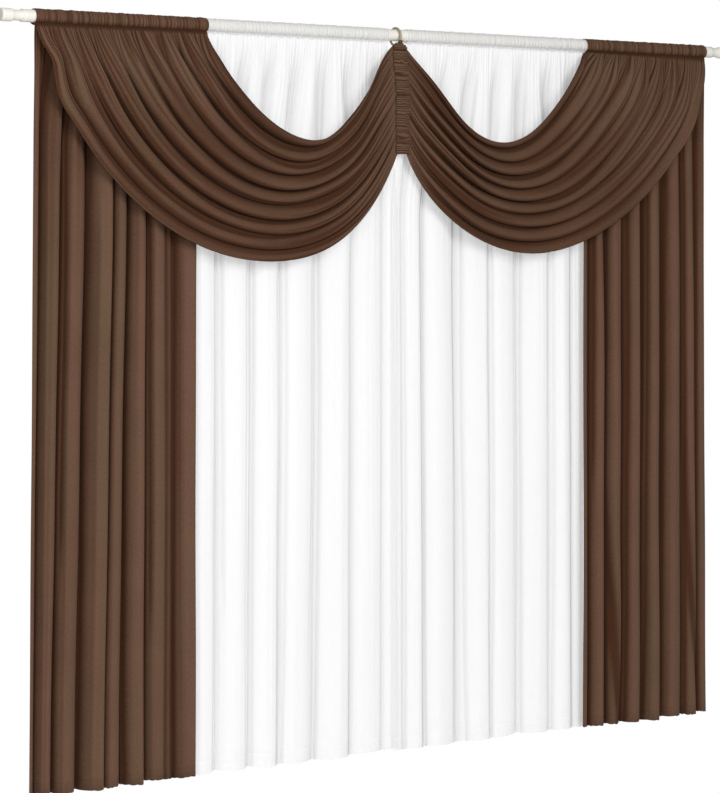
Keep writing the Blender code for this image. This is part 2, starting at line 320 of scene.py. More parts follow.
def placeGroup(tree, group, **values):
    node = tree.nodes.new("ShaderNodeGroup")
    node.node_tree = group
    for label, value in values.items():
        if isinstance(value, (int, float)):
            node.inputs[label].default_value = value
        else:
            tree.links.new(value, node.inputs[label])
    return node


def newMaterial(name, settings):
    material = bpy.data.materials.new(name)
    material.use_nodes = True
    tree = material.node_tree
    shader = tree.nodes["Principled BSDF"]
    for label, value in settings.items():
        shader.inputs[label].default_value = value
    return material, tree, shader, tree.nodes.new("ShaderNodeTexCoord")


def addBump(tree, shader, height, distance, strength):
    bump = tree.nodes.new("ShaderNodeBump")
    bump.inputs["Distance"].default_value = distance
    bump.inputs["Strength"].default_value = strength
    tree.links.new(height, bump.inputs["Height"])
    tree.links.new(bump.outputs[0], shader.inputs["Normal"])


knitLoops = buildKnitGroup(knitSpec)
hemStitch = buildStitchGroup(stitchSpec)

jerseyLook = {
    "shader": {
        "Sheen Weight": 0.05, "Sheen Roughness": 0.5, "Sheen Tint": (0.75, 0.58, 0.45, 1.0),
        "Specular IOR Level": 0.15,
    },
    # deep brown: the knit's darkest tone and the colour of the painted shade in folds
    "deepBrown": (0.060, 0.022, 0.009),
    "redBrown": (0.215, 0.119, 0.081),
    "oliveBrown": (0.190, 0.121, 0.076),
    "wale": 0.0011, "course": 0.0009, "stitch": 0.003,
    # scale, detail, stretch of each noise
    "clouds": (9.0, 4.0),
    "crepe": (1.0, 4.0, (320.0, 130.0, 1.0)),
    "dye": (1.0, 2.0, (22.0, 22.0, 1.2)),
    "knitShare": 0.75, "cloudShare": 0.20, "crepeShare": 0.20,
    "tones": (0.30, 0.90, 0.20, 0.90),
    # the stitch groove darkens the tone, and the fold mark darkens it as painted shade
    "stitchShade": -0.15, "foldShade": -1.0,
    "roughness": (0.3, 0.7, 0.80, 0.95),
    "crepeHeight": 0.7, "stitchHeight": -0.8, "relief": (0.0006, 0.5),
}  # fmt: skip


# brown jersey: streaked heather over the knit, slow uneven dye, painted shade down in the folds, a soft
# nap
def brownJersey(name, hem, redUpTo, oliveFrom, look):
    material, tree, shader, where = newMaterial(name, look["shader"])
    flat = where.outputs["UV"]
    knit = placeGroup(tree, knitLoops, Cloth=flat, Wale=look["wale"], Course=look["course"])
    stitch = placeGroup(tree, hemStitch, Cloth=flat, Height=hem, Pitch=look["stitch"])
    cloudy = noiseNode(tree, where.outputs["Object"], *look["clouds"])
    crepe = noiseNode(tree, flat, *look["crepe"])
    tone = mathNode(tree, "MULTIPLY", cloudy, look["cloudShare"])
    tone = plusNode(tree, tone, knit.outputs["Tone"], look["knitShare"])
    tone = plusNode(tree, tone, crepe, look["crepeShare"])
    tone = rangeNode(tree, tone, *look["tones"])
    tone = plusNode(tree, tone, stitch.outputs["Groove"], look["stitchShade"])
    # painted shade: the fold mark darkens the tone towards the deep brown
    tone = plusNode(tree, tone, paintedShadeMark(tree), look["foldShade"])
    dye = noiseNode(tree, where.outputs["Object"], *look["dye"])
    cast = rangeNode(tree, dye, redUpTo, oliveFrom, 0.0, 1.0)
    light = mixColour(tree, cast, look["redBrown"], look["oliveBrown"])
    tree.links.new(mixColour(tree, tone, look["deepBrown"], light), shader.inputs["Base Color"])
    tree.links.new(rangeNode(tree, cloudy, *look["roughness"]), shader.inputs["Roughness"])
    height = plusNode(tree, knit.outputs["Height"], crepe, look["crepeHeight"])
    height = plusNode(tree, height, stitch.outputs["Groove"], look["stitchHeight"])
    addBump(tree, shader, height, *look["relief"])
    return material


voileLook = {
    "shader": {"Specular IOR Level": 0.1, "Sheen Weight": 0.05},
    # the grey is painted shade where the fold mark is
    "thread": ((0.84, 0.84, 0.85), (0.92, 0.92, 0.92)), "gathered": (0.52, 0.52, 0.54),
    "pitch": 0.0007, "hem": 0.03, "stitch": 0.003,
    "slubs": (1.0, 3.0, (500.0, 25.0, 1.0)), "roughness": (0.3, 0.7, 0.80, 0.95),
    "cover": 0.45, "weaveCover": 0.20, "hemCover": 0.06, "gatheredCover": 0.30,
    "stitchHeight": -0.5, "relief": (0.0003, 0.35),
}  # fmt: skip


# white voile: the weave's gaps are in the alpha; it covers more at the hem and in folds, greyed there
# as painted shade
def whiteVoile(name, look):
    material, tree, shader, where = newMaterial(name, look["shader"])
    flat = where.outputs["UV"]
    knit = placeGroup(tree, knitLoops, Cloth=flat, Wale=look["pitch"], Course=look["pitch"])
    stitch = placeGroup(tree, hemStitch, Cloth=flat, Height=look["hem"], Pitch=look["stitch"])
    slub = noiseNode(tree, flat, *look["slubs"])
    gathered = paintedShadeMark(tree)
    thread = mixColour(tree, slub, *look["thread"])
    # painted shade: the fold mark greys the thread
    tree.links.new(mixColour(tree, gathered, thread, look["gathered"]), shader.inputs["Base Color"])
    tree.links.new(rangeNode(tree, slub, *look["roughness"]), shader.inputs["Roughness"])
    cover = mathNode(tree, "MULTIPLY_ADD", knit.outputs["Height"], look["weaveCover"], look["cover"])
    cover = plusNode(tree, cover, stitch.outputs["Hem"], look["hemCover"])
    cover = plusNode(tree, cover, gathered, look["gatheredCover"])
    tree.links.new(cover, shader.inputs["Alpha"])
    weave = plusNode(tree, knit.outputs["Height"], stitch.outputs["Groove"], look["stitchHeight"])
    addBump(tree, shader, weave, *look["relief"])
    return material


paintLook = {
    "shader": {"Coat Weight": 0.15, "Coat Roughness": 0.25},
    "paints": ((0.80, 0.77, 0.69), (0.87, 0.85, 0.79)),
    "dust": (35.0, 4.0), "peel": (650.0, 2.0),
    "roughness": (0.3, 0.7, 0.32, 0.45), "relief": (0.0002, 0.15),
}  # fmt: skip


# painted metal: warm white, a trace of orange peel and dust
def whitePaint(name, look):
    material, tree, shader, where = newMaterial(name, look["shader"])
    dust = noiseNode(tree, where.outputs["Object"], *look["dust"])
    peel = noiseNode(tree, where.outputs["Object"], *look["peel"])
    tree.links.new(mixColour(tree, dust, *look["paints"]), shader.inputs["Base Color"])
    tree.links.new(rangeNode(tree, dust, *look["roughness"]), shader.inputs["Roughness"])
    addBump(tree, shader, peel, *look["relief"])
    return material


ringLook = {
    "shader": {"Coat Weight": 0.15, "Coat Roughness": 0.3},
    "beiges": ((0.27, 0.22, 0.15), (0.42, 0.36, 0.27)),
    "grain": (1.0, 4.0, (900.0, 60.0, 1.0)),
    "roughness": (0.3, 0.7, 0.40, 0.55), "relief": (0.0002, 0.25),
}  # fmt: skip


# beige ring: fine grain drawn along the wire
def beigeRing(name, look):
    material, tree, shader, where = newMaterial(name, look["shader"])
    grain = noiseNode(tree, where.outputs["UV"], *look["grain"])
    tree.links.new(mixColour(tree, grain, *look["beiges"]), shader.inputs["Base Color"])
    tree.links.new(rangeNode(tree, grain, *look["roughness"]), shader.inputs["Roughness"])
    addBump(tree, shader, grain, *look["relief"])
    return material


# name, height of the stitch line, dye level up to which the brown is red and from which it is olive
panelJersey = brownJersey("panelJersey", 0.022, 0.42, 0.58, jerseyLook)
swagJersey = brownJersey("swagJersey", 0.010, 0.32, 0.56, jerseyLook)
voile = whiteVoile("whiteVoile", voileLook)
paint = whitePaint("whitePaint", paintLook)
ringFinish = beigeRing("beigeRing", ringLook)
print("materials made")


pocketSpec = {"pinch": 0.45, "pinchReach": 0.05, "fullest": 1.1}


# section of a rod pocket: from just behind the seam, back under the rod, up, over it and down the front
# to the seam; a front of a gather stands off on a wide circle, and a valley lies on the rod
def pocketSection(turn, gather, spec):
    start = spec["lap"] / spec["radius"] - layout["seamTurn"]
    angle = start + turn * (2 * math.pi - layout["seamTurn"] - start)
    offset = layout["pocketCentre"]
    touch = layout["rodRadius"] + spec["rodGap"]
    inner = offset * np.cos(angle) + np.sqrt(touch**2 - (offset * np.sin(angle)) ** 2)
    outer = spec["radius"] + spec["standOff"]
    pinch, width = pocketSpec["pinch"], pocketSpec["pinchReach"]
    tight = 1 - pinch * softMark(1 - turn, width) - pinch * softMark(turn, width)
    reach = inner + (outer - inner) * np.clip(gather, 0.0, pocketSpec["fullest"]) * tight
    return reach * np.sin(angle), offset - reach * np.cos(angle)


# shared by the hanging panels; lengths are metres down from the seam
hangSpec = {
    "crowding": 1.7,  # brings the rows closer together under the seam
    "straight": 0.025,
    "pleatDrift": 0.6, "smallDrift": -0.8, "smallCount": 1.7, "smallFrom": 0.10,
    "gatherFrom": 0.006, "gatherHold": 0.01, "gatherUneven": 0.7, "gatherPitches": (8, 30),
    "pleatFrom": 0.03, "pleatHold": 0.05, "pleatFade": 0.85,
    "swayFrom": 0.3, "swayPitches": (0.5, 2.5),
    "waverFrom": 0.2, "waver": ((2.3, 0.8), (1.0, 4.0)),  # slant, pitches
    "hemPitches": (1.5, 7),
    # painted shade: the level below which gathers darken, how dark creases get, the seam's dark line
    # and the stronger shade near the top
    "gatherLevel": 0.85, "creaseShade": 0.7, "creaseFull": 0.008,
    "seamTurns": 0.07, "seamDrop": 0.006, "topHold": 0.3, "topFade": 0.9,
}  # fmt: skip


# a panel: rows run round the pocket and then down, columns run across the folds of its table; the
# gathers are even at the seam and open into the folds over the spread
def hungPanel(name, spec):
    hang = hangSpec
    xTop, xHem, front, back = np.array(spec["folds"]).T
    count = len(xTop) - 1
    seed = spec["seed"]
    seamHeight = layout["pocketCentre"] - spec["radius"] * math.cos(layout["seamTurn"])
    fullDrop = seamHeight - layout["hemHeight"]
    across = np.linspace(0, 1, spec["columns"])[None, :]
    turns = np.linspace(0, 1, spec["pocketRows"])
    drops = fullDrop * np.linspace(0, 1, spec["rows"])[1:] ** hang["crowding"]
    turn = np.concatenate([turns, np.ones(len(drops))])[:, None]
    drop = np.concatenate([np.zeros(len(turns)), drops])[:, None]
    down = drop / fullDrop

    fold, _, eased, deep = foldAlong(across * count, spec["roundness"])
    after = np.minimum(fold + 1, count)
    edge = xTop + (xHem - xTop) * down
    foldedX = edge[:, fold[0]] + (edge[:, after[0]] - edge[:, fold[0]]) * eased
    near = front[fold] + (front[after] - front[fold]) * eased
    foldedY = near + (back[fold] - near) * deep
    gather = pleatRow(across, down, spec["gathers"], seed)
    pleat = pleatRow(across, down, spec["pleats"], seed + 7, hang["pleatDrift"])
    small = pleatRow(across, down, spec["pleats"] * hang["smallCount"], seed + 15, hang["smallDrift"])
    troughs = spec["creaseGain"] * creaseField(across * count, down, spec["creases"])

    opened = ease(drop / spec["spread"])
    gatherUneven = 1 + hang["gatherUneven"] * ripple(across, seed + 23, *hang["gatherPitches"])
    gatherFade = ease((drop - hang["gatherHold"]) / (spec["gatherReach"] * gatherUneven))
    fine = ease(drop / hang["gatherFrom"]) * (1 - gatherFade)
    pleatFade = ease((drop - hang["pleatHold"]) / spec["pleatReach"])
    broad = ease(drop / hang["pleatFrom"]) * (1 - hang["pleatFade"] * pleatFade)

    pocketY, pocketZ = pocketSection(turn, gather, spec)
    outer, inner = spec["pocket"]
    x = outer + (inner - outer) * across
    x = x + (foldedX - x) * ease((drop - hang["straight"]) / spec["widening"])
    swayed = spec["sway"] * ripple(down, seed + 11, *hang["swayPitches"])
    x = x + swayed * np.sin(np.pi * across) * ease(drop / hang["swayFrom"])
    y = pocketY + (foldedY - pocketY) * opened
    y = y + pushed(spec["gatherDepth"], gather) * fine + pushed(spec["pleatDepth"], pleat) * broad
    y = y + pushed(spec["smallDepth"], small) * ease(drop / hang["smallFrom"]) + troughs
    wavered = spec["waver"] * slanted(across, down, seed + 13, *hang["waver"])
    y = y + wavered * ease(drop / hang["waverFrom"])
    z = pocketZ - drop + spec["hemUneven"] * ripple(across, seed + 17, *hang["hemPitches"]) * down**3

    # painted shade in the mark: darker in the pocket's and the gathers' valleys, in fold, pleat and
    # crease valleys, along the seam, and more near the top, under the swag
    inPocket = (drop < 1e-9) * spec["pocketShade"]
    above = 1 + spec["topShade"] * (1 - ease((drop - hang["topHold"]) / hang["topFade"]))
    gathered = darkened(gather, hang["gatherLevel"]) * (spec["gatherShade"] * fine + inPocket)
    seam = softMark(1 - turn, hang["seamTurns"]) * softMark(drop, hang["seamDrop"])
    paintedShade = opened * deep**2 * spec["foldShade"] * above + gathered
    paintedShade += spec["pleatShade"] * (1 - pleat) * broad
    paintedShade += np.clip(troughs / hang["creaseFull"], 0, 1) * hang["creaseShade"]
    paintedShade += spec["seamShade"] * seam
    points = np.stack([x, y, z], axis=-1)
    return gridPiece(name, points, flip=bool(xTop[0] > xTop[-1]), paintedShade=np.clip(paintedShade, 0, 1))


leftPanelSpec = {
    # x at the top, x at the hem, y of the front edge, y of the valley after it
    "folds": (
        (-0.999, -1.012, -0.004, 0.016),
        (-0.952, -0.984, -0.026, 0.008),
        (-0.896, -0.932, -0.024, 0.022),
        (-0.815, -0.842, -0.030, -0.006),
        (-0.779, -0.812, -0.024, 0.014),
        (-0.732, -0.740, -0.028, 0.010),
        (-0.692, -0.692, -0.027, -0.002),
        (-0.586, -0.588, -0.022, 0.0),
    ),
    # fold place at the top, half way and at the hem, from, to, depth, width in folds
    "creases": (
        (0.80, 0.84, 0.86, 0.05, 1.20, -0.0030, 0.040),
        (1.72, 1.80, 1.76, 0.00, 0.75, 0.0045, 0.050),
        (1.90, 1.88, 1.92, 0.30, 1.20, -0.0035, 0.035),
        (2.30, 2.62, 2.66, 0.15, 1.20, 0.0030, 0.040),
        (2.84, 2.86, 2.86, 0.20, 1.20, -0.0035, 0.030),
        (4.70, 4.66, 4.74, 0.05, 1.20, 0.0045, 0.050),
        (5.72, 5.82, 5.78, 0.10, 0.85, 0.0040, 0.050),
        (6.12, 6.16, 6.14, 0.05, 1.20, 0.0040, 0.045),
        (6.58, 6.62, 6.60, 0.12, 1.20, 0.0030, 0.045),
        (6.80, 6.78, 6.82, 0.25, 1.20, -0.0040, 0.030),
        (3.50, 3.62, 3.40, 0.00, 1.20, 0.0050, 0.120),
        (1.20, 1.42, 1.66, 0.15, 1.20, 0.0045, 0.110),
    ),
    "pocket": (-1.000, -0.547),
    "radius": 0.0172, "lap": 0.0021, "rodGap": 0.0008, "standOff": 0.0016,
    "columns": 401, "pocketRows": 22, "rows": 92,
    "roundness": 0.80, "spread": 0.24, "widening": 0.24, "foldShade": 0.9,
    # painted shade in the folds, the pocket, along the seam, in gathers and pleats, and more near the
    # top
    "pocketShade": 0.8, "seamShade": 0.9, "gatherShade": 1.4, "pleatShade": 0.4, "topShade": 0.3,
    "creaseGain": 1.3,
    "gathers": 50, "gatherReach": 0.14, "gatherDepth": 0.0036,
    "pleats": 19, "pleatReach": 0.60, "pleatDepth": 0.0060, "smallDepth": 0.0012,
    "sway": 0.003, "waver": 0.0012, "hemUneven": 0.003, "seed": 21,
}  # fmt: skip
rightPanelSpec = dict(
    leftPanelSpec,
    folds=(
        (1.000, 1.008, -0.004, 0.010),
        (0.934, 0.955, -0.022, 0.000),
        (0.887, 0.884, -0.026, 0.014),
        (0.810, 0.816, -0.027, 0.018),
        (0.752, 0.746, -0.029, 0.008),
        (0.676, 0.684, -0.028, 0.014),
        (0.636, 0.632, -0.026, 0.004),
        (0.577, 0.574, -0.021, 0.0),
    ),
    creases=(
        (0.50, 0.46, 0.52, 0.00, 1.20, 0.0035, 0.060),
        (1.24, 1.20, 1.26, 0.05, 1.20, 0.0040, 0.050),
        (2.24, 2.30, 2.22, 0.00, 0.80, 0.0040, 0.050),
        (2.14, 2.12, 2.16, 0.30, 1.20, -0.0030, 0.030),
        (3.20, 3.16, 3.26, 0.10, 1.20, 0.0045, 0.040),
        (3.12, 3.10, 3.14, 0.25, 1.20, -0.0035, 0.030),
        (4.26, 4.20, 4.24, 0.05, 1.20, 0.0045, 0.050),
        (5.22, 5.30, 5.26, 0.15, 1.20, 0.0040, 0.045),
        (6.25, 6.20, 6.28, 0.00, 0.70, 0.0040, 0.050),
        (6.36, 6.40, 6.34, 0.30, 1.20, 0.0030, 0.040),
        (6.00, 5.60, 4.85, 0.00, 1.20, 0.0065, 0.150),
        (3.60, 3.46, 3.62, 0.00, 1.20, 0.0055, 0.120),
        (1.60, 1.40, 0.75, 0.20, 1.20, 0.0050, 0.120),
    ),
    pocket=(1.000, 0.593),
    # deeper painted shade in the folds and near the top, under the swag
    foldShade=1.5,
    topShade=1.1,
    gathers=45,
    seed=35,
)
leftSheerSpec = dict(
    leftPanelSpec,
    folds=(
        (-0.603, -0.600, 0.009, 0.013),
        (-0.555, -0.558, -0.008, 0.014),
        (-0.450, -0.466, -0.009, 0.016),
        (-0.366, -0.372, -0.007, 0.013),
        (-0.284, -0.300, -0.009, 0.016),
        (-0.158, -0.172, -0.008, 0.015),
        (-0.076, -0.080, 0.000, 0.012),
        (0.010, 0.014, 0.005, 0.0),
    ),
    creases=(
        (0.60, 0.70, 0.66, 0.00, 1.20, 0.0045, 0.040),
        (1.25, 1.32, 1.28, 0.10, 1.20, 0.0050, 0.035),
        (1.70, 1.74, 1.80, 0.00, 0.85, 0.0045, 0.040),
        (2.28, 2.20, 2.26, 0.05, 1.20, 0.0055, 0.035),
        (2.74, 2.68, 2.70, 0.15, 1.20, 0.0040, 0.035),
        (3.30, 3.26, 3.34, 0.00, 1.20, 0.0050, 0.035),
        (3.68, 3.78, 3.72, 0.20, 1.20, 0.0045, 0.030),
        (4.24, 4.30, 4.22, 0.05, 0.90, 0.0050, 0.030),
        (4.62, 4.70, 4.66, 0.00, 1.20, 0.0055, 0.030),
        (5.35, 5.30, 5.40, 0.10, 1.20, 0.0045, 0.040),
    ),
    pocket=(-0.5465, -0.0265),
    radius=0.0170, lap=0.0016, rodGap=0.0005, standOff=0.0014,
    pocketRows=20, rows=90, spread=0.13, widening=0.40, foldShade=0.55,
    # lighter painted shade, which greys the voile
    pocketShade=0.05, seamShade=0.25, gatherShade=0.35, pleatShade=0.15, topShade=0.0,
    creaseGain=0.8,
    gathers=62, gatherReach=0.26, gatherDepth=0.0017,
    pleats=30, pleatReach=0.80, pleatDepth=0.0040, smallDepth=0.0010, seed=52,
)  # fmt: skip
rightSheerSpec = dict(
    leftSheerSpec,
    folds=(
        (0.603, 0.600, 0.008, 0.013),
        (0.520, 0.535, -0.007, 0.013),
        (0.452, 0.443, -0.008, 0.014),
        (0.318, 0.330, -0.007, 0.010),
        (0.259, 0.270, -0.009, 0.016),
        (0.115, 0.126, -0.012, 0.014),
        (0.046, 0.062, -0.009, 0.002),
        (-0.014, -0.012, -0.006, 0.0),
    ),
    creases=(
        (0.60, 0.66, 0.62, 0.00, 1.20, 0.0045, 0.040),
        (1.30, 1.22, 1.28, 0.10, 1.20, 0.0045, 0.040),
        (2.24, 2.30, 2.26, 0.00, 1.20, 0.0055, 0.030),
        (2.66, 2.72, 2.70, 0.10, 0.90, 0.0045, 0.030),
        (3.30, 3.24, 3.30, 0.05, 1.20, 0.0045, 0.040),
        (4.22, 4.26, 4.20, 0.00, 1.20, 0.0055, 0.030),
        (4.64, 4.60, 4.66, 0.15, 1.20, 0.0050, 0.025),
        (5.28, 5.34, 5.30, 0.05, 1.20, 0.0050, 0.030),
        (6.30, 6.24, 6.28, 0.00, 1.20, 0.0045, 0.040),
    ),
    pocket=(0.5925, 0.0290),
    seed=68,
)

leftPanel, leftPanelFlat = hungPanel("leftSidePanel", leftPanelSpec)
rightPanel, rightPanelFlat = hungPanel("rightSidePanel", rightPanelSpec)
leftSheer, leftSheerFlat = hungPanel("leftSheer", leftSheerSpec)
rightSheer, rightSheerFlat = hungPanel("rightSheer", rightSheerSpec)
for panel, node in ((leftPanel, "side_panel_left"), (rightPanel, "side_panel_right")):
    dress(giveThickness(panel), panelJersey, "brown_jersey", node)
for panel, node in ((leftSheer, "sheer_left"), (rightSheer, "sheer_right")):
    dress(panel, voile, "white_voile", node)
print("panels hung", leftPanelFlat, rightPanelFlat, leftSheerFlat, rightSheerFlat)


stripLine = {"start": -0.0215, "further": 0.0105, "above": -0.045, "over": 0.09}


# depth at which the strip hangs, by height: an eased step outwards on the way down
def stripDepth(z):
    passed = (stripLine["above"] - z) / stripLine["over"]
    return stripLine["start"] - stripLine["further"] * ease(passed)


# shared by both swags; places are shares of the way from the pocket to the strip
drapeSpec = {
    "crowding": 0.07,  # brings the columns closer together at both ends
    "looseFrom": 0.12, "looseTo": 0.28, "heldDepth": 0.02,
    "drift": ((1.3, 0.8), (0.8, 3.0)),  # slant, pitches
    "swing": ((1.9, 0.9), (0.8, 3.0)),
    "waver": ((2.1, 1.0), (2.0, 8.0)), "waverFrom": 0.1, "waverTo": 0.2,
    "lift": ((1.7, 1.0), (1.0, 4.0)), "liftHeight": 0.0015,
    "topLength": 0.75, "moreLength": 0.55,  # along the drape, metres
    "bulge": 0.006, "behindStrip": 0.0066, "backReach": 0.24,
    "pleatDrift": 0.8,
    # start, hold, mean reach, its unevenness and the pitches of that
    "gatherFade": (0.008, 0.01, 0.22, 0.17, (8, 30)),
    "pleatFade": (0.02, 0.10, 0.42, 0.20, (4, 12)),
    "drawnFrom": 0.55, "drawnOver": 0.30, "endFlat": 0.75, "endFrom": 0.955, "endOver": 0.03,
    # the outer corner's step: place, width, height
    "corner": ((0.085, 0.030, 1.0), (0.170, 0.035, -0.8)), "cornerFrom": 0.80, "cornerOver": 0.20,
}  # fmt: skip

# how dark each kind of fold is painted in a swag: painted shade
drapeShade = {
    "hollowFrom": 0.08, "hollowOver": 0.30, "hollowTo": 0.28,
    "all": 0.22, "valley": 0.95, "valleyPower": 1.5, "under": 0.55,
    "gather": 2.3, "gatherLevel": 0.62, "pleat": 0.9, "pleatLevel": 0.70,
    "tuck": 1.6, "tuckLevel": 0.72,
    "seam": 0.7, "seamReach": 0.007, "crease": 0.7, "creaseFull": 0.008,
}  # fmt: skip


# how strongly gathers show along a swag: all from a short start on, and gone over an uneven reach
def fading(across, t, seed, start, hold, reach, uneven, pitches):
    return ease(t / start) * (1 - ease((t - hold) / (reach + uneven * ripple(across, seed, *pitches))))


# a swag: smooth curves from the pocket seam to the strip; rows run from the top edge to the hem, spaced
# by the fold table, and each fold sags over the valley below it
def drapedSwag(name, spec):
    drape, shade = drapeSpec, drapeShade
    edges = np.array(spec["edges"])
    shares, depths = np.array(spec["folds"]).T
    count = len(shares) - 1
    seed = spec["seed"]
    across = np.linspace(0, 1, spec["rows"])[:, None]
    t = np.linspace(0, 1, spec["columns"])[None, :]
    t = t - drape["crowding"] * np.sin(2 * np.pi * t)
    free = (across > 1e-6) & (across < 1 - 1e-6)
    loose = ease(t / drape["looseFrom"]) * ease((1 - t) / drape["looseTo"])

    bend = spec["drift"] * slanted(across, t, seed + 41, *drape["drift"]) * np.sin(np.pi * across)
    fold, part, eased, deep = foldAlong(across * count + bend, spec["roundness"], spec["flatness"])
    after = np.minimum(fold + 1, count)
    share = shares[fold] + (shares[after] - shares[fold]) * (part + (eased - part) * loose)
    weights = [math.comb(4, k) * t**k * (1 - t) ** (4 - k) for k in range(5)]
    x = sum(w * (p[0] + (p[2] - p[0]) * share) for w, p in zip(weights, edges))
    z = sum(w * (p[1] + (p[3] - p[1]) * share) for w, p in zip(weights, edges))
    length = drape["topLength"] + drape["moreLength"] * share
    forward = np.sin(np.pi / 2 * np.clip(t * length / spec["forwardReach"], 0, 1))
    outward = spec["frontY"] - drape["bulge"] * np.sin(np.pi * share) - spec["startY"]
    mean = spec["startY"] + outward * forward
    inner = stripDepth(z) + drape["behindStrip"]
    mean = inner + (mean - inner) * ease((1 - t) / drape["backReach"])

    crest = (np.concatenate([depths[:1], depths[:-1]]) + depths) / 4
    front = crest[fold] + (crest[after] - crest[fold]) * part
    swing = 1 + spec["swing"] * slanted(across, t, seed + 21, *drape["swing"])
    held = drape["heldDepth"]
    y = mean + (depths[fold] * deep - front) * (held + (1 - held) * loose) * swing
    z = z - spec["sag"] * loose * (0.5 - deep) * free
    z = z + drape["liftHeight"] * slanted(across, t, seed + 19, *drape["lift"]) * loose * free

    gather = pleatRow(across, t, spec["gathers"], seed)
    pleat = pleatRow(across, t, spec["pleats"], seed + 5, drape["pleatDrift"])
    tuck = pleatRow(across, t, count * spec["stripPleats"], seed + 4)
    fine = fading(across, t, seed + 31, *drape["gatherFade"])
    broad = fading(across, t, seed + 33, *drape["pleatFade"])
    flattened = drape["endFlat"] * ease((t - drape["endFrom"]) / drape["endOver"])
    drawn = ease((t - drape["drawnFrom"]) / drape["drawnOver"]) * (1 - flattened)
    y = y + pushed(spec["gatherDepth"], gather) * fine + pushed(spec["pleatDepth"], pleat) * broad
    y = y + pushed(spec["stripPleatDepth"], tuck) * drawn
    troughs = spec["creaseGain"] * creaseField(across * count, t, spec["creases"])
    wavered = spec["waver"] * slanted(across, t, seed + 9, *drape["waver"])
    y = y + troughs + wavered * ease(t / drape["waverFrom"]) * ease((1 - t) / drape["waverTo"])
    outer = ease((share - drape["cornerFrom"]) / drape["cornerOver"])
    step = sum(height * softMark(t - place, width) for place, width, height in drape["corner"])
    x = x + spec["cornerStep"] * outer * step

    # painted shade in the mark: over the loose middle, in the valleys, on the flank below each crest,
    # in gather, pleat and tuck valleys, at the seam and in creases
    under = np.clip(np.sin(2 * np.pi * part), 0, 1)
    hollow = ease((t - shade["hollowFrom"]) / shade["hollowOver"]) * ease((1 - t) / shade["hollowTo"])
    valley = shade["valley"] * deep ** shade["valleyPower"]
    paintedShade = hollow * (shade["all"] + valley + shade["under"] * under)
    paintedShade += shade["gather"] * darkened(gather, shade["gatherLevel"]) * fine
    paintedShade += shade["pleat"] * darkened(pleat, shade["pleatLevel"]) * broad
    paintedShade += shade["tuck"] * darkened(tuck, shade["tuckLevel"]) * drawn
    paintedShade += shade["seam"] * softMark(t, shade["seamReach"])
    paintedShade += shade["crease"] * np.clip(troughs / shade["creaseFull"], 0, 1)
    points = np.stack([x, y, z], axis=-1)
    return gridPiece(name, points, flip=bool(edges[0, 0] > 0), paintedShade=np.clip(paintedShade, 0, 1))


leftSwagSpec = {
    # x and z on the top edge, x and z on the hem
    "edges": (
        (-0.548, -0.0170, -0.998, -0.0170),
        (-0.565, -0.1478, -1.014, -0.2115),
        (-0.170, -0.4702, -0.683, -0.6818),
        (-0.210, -0.1561, -0.164, -0.6261),
        (-0.0085, -0.0165, -0.013, -0.2780),
    ),
    # share of the way down, depth of the valley after it
    "folds": (
        (0.00, 0.024),
        (0.15, 0.025),
        (0.27, 0.024),
        (0.40, 0.023),
        (0.52, 0.025),
        (0.65, 0.022),
        (0.76, 0.018),
        (0.87, 0.014),
        (1.00, 0.0),
    ),
    # fold place at the pocket, half way and at the strip, from, to, depth, width in folds
    "creases": (
        (0.70, 0.76, 0.70, 0.05, 0.70, 0.0045, 0.050),
        (1.20, 1.78, 1.70, 0.15, 0.95, 0.0045, 0.045),
        (2.60, 2.24, 2.30, 0.10, 0.80, 0.0045, 0.050),
        (3.10, 3.76, 3.60, 0.12, 1.05, 0.0050, 0.045),
        (4.80, 4.22, 4.30, 0.05, 0.85, 0.0045, 0.045),
        (5.60, 5.74, 5.60, 0.00, 1.05, 0.0040, 0.045),
        (6.30, 6.22, 6.40, 0.10, 0.75, 0.0040, 0.050),
        (6.90, 6.78, 6.60, 0.05, 1.05, 0.0040, 0.045),
        (7.40, 7.30, 7.40, 0.05, 0.80, 0.0045, 0.060),
    ),
    "rows": 373, "columns": 121, "roundness": 0.90, "flatness": 1.15,
    "sag": 0.014, "swing": 0.35, "drift": 0.10, "creaseGain": 1.7,
    "startY": -0.0108, "frontY": -0.050, "forwardReach": 0.19,
    "gathers": 60, "gatherDepth": 0.0046, "pleats": 28, "pleatDepth": 0.0105,
    "stripPleats": 3, "stripPleatDepth": 0.0075, "waver": 0.0008, "cornerStep": 0.011, "seed": 80,
}  # fmt: skip
rightSwagSpec = dict(
    leftSwagSpec,
    edges=(
        (0.594, -0.0170, 0.998, -0.0170),
        (0.480, -0.0389, 0.935, -0.2957),
        (0.306, -0.5591, 0.513, -0.7061),
        (0.086, -0.1022, 0.104, -0.5212),
        (0.0085, -0.0165, 0.013, -0.2780),
    ),
    folds=(
        (0.00, 0.022),
        (0.13, 0.025),
        (0.26, 0.026),
        (0.38, 0.023),
        (0.50, 0.024),
        (0.62, 0.022),
        (0.74, 0.019),
        (0.86, 0.015),
        (1.00, 0.0),
    ),
    creases=(
        (0.60, 0.72, 0.64, 0.08, 0.80, 0.0040, 0.050),
        (1.50, 1.24, 1.40, 0.12, 0.90, 0.0045, 0.045),
        (2.20, 2.76, 2.60, 0.05, 1.05, 0.0050, 0.045),
        (3.70, 3.26, 3.40, 0.10, 0.85, 0.0045, 0.050),
        (4.30, 4.74, 4.60, 0.12, 1.05, 0.0045, 0.045),
        (5.80, 5.28, 5.30, 0.05, 0.75, 0.0040, 0.045),
        (6.20, 6.70, 6.60, 0.00, 1.05, 0.0045, 0.045),
        (7.20, 7.26, 7.30, 0.05, 0.90, 0.0040, 0.055),
    ),
    cornerStep=-0.006,
    seed=97,
)
